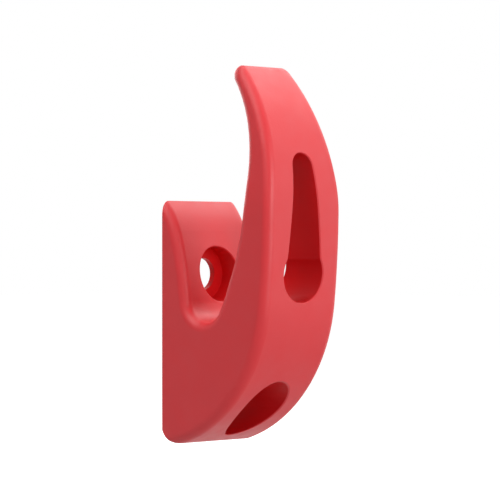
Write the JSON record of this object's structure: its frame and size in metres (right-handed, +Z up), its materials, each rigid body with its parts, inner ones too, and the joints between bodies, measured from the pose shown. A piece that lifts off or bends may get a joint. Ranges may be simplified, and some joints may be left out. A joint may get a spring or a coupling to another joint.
{
  "type": "bag hook",
  "caption": "One-piece moulded claw hook for a scooter post: flat screw-on back plate, rounded strap valley and a tapering upturned arm with a keyhole slot.",
  "frame": {"origin": "on the flat mounting face, midway between the two screw axes", "axes": "+Z up, +Y out of the mounting face into the post, so the hook reaches out along -Y; +X to the right when looking at the hook from the front"},
  "size_m": [0.0208, 0.0284, 0.0723],
  "materials": {
    "hook_plastic": "satin moulded red plastic"
  },
  "bodies": {
    "root": {"bag_hook": "hook_plastic"}
  },
  "joints": []
}
